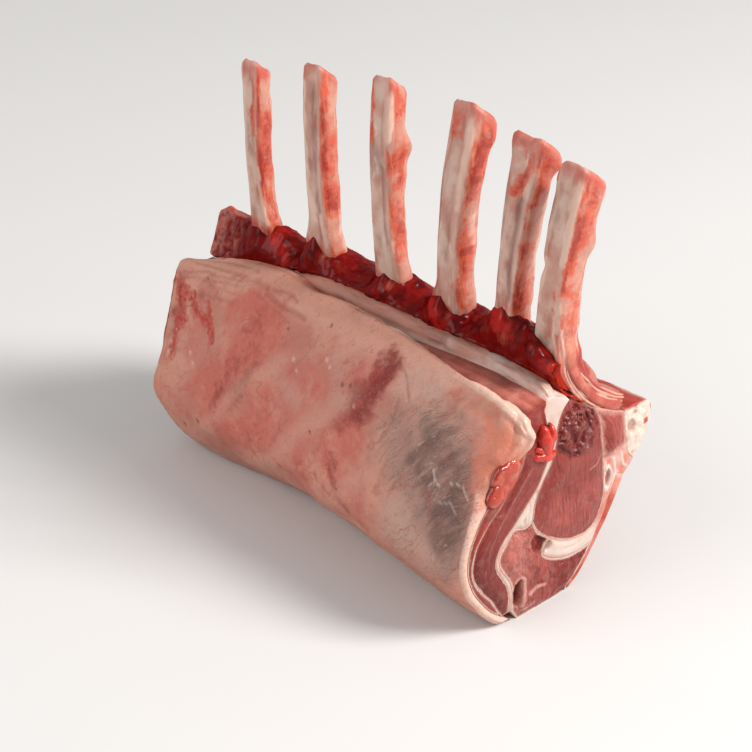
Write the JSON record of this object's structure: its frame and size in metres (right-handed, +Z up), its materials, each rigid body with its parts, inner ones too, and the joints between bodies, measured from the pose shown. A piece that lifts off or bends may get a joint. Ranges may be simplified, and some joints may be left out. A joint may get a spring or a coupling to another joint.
{
  "type": "raw rack of lamb",
  "caption": "Raw frenched rack of lamb with bare rib bones, a smooth fat cap and a clean cut showing the eye of the loin.",
  "frame": {"origin": "middle of the underside of the bounding box", "axes": "+X along the loin towards the clean cut, -Y towards the fat cap, +Y towards the sawn backbone, +Z up along the bare bones"},
  "size_m": [0.1742, 0.0912, 0.1598],
  "materials": {
    "fat_cap": "pink raw fat, moist, with redder patches",
    "white_fat": "white raw fat, smooth and slightly moist",
    "muscle": "raw lean meat, wet, with fine grain",
    "dark_meat": "dark raw meat, wet and glistening",
    "red_strap": "orange-red membrane and soft lumps, moist",
    "bone": "scraped raw bone with red shreds"
  },
  "bodies": {
    "root": {"fat_cap": "fat_cap", "seam_fat": "white_fat", "fat_under_eye": "white_fat", "fat_by_chine": "white_fat", "cap_muscle_outer": "muscle", "cap_muscle_inner": "muscle", "loin_eye": "muscle", "lower_muscle": "muscle", "chine_muscle": "muscle", "chine_bone": "bone", "back_strap": "red_strap", "red_tag": "red_strap", "fat_tag": "red_strap", "rib_1": "bone", "rib_2": "bone", "rib_3": "bone", "rib_4": "bone", "rib_5": "bone", "rib_6": "bone", "rib_meat_1": "dark_meat", "rib_meat_2": "dark_meat", "rib_meat_3": "dark_meat", "rib_meat_4": "dark_meat", "rib_meat_5": "dark_meat", "rib_meat_6": "dark_meat"}
  },
  "joints": []
}
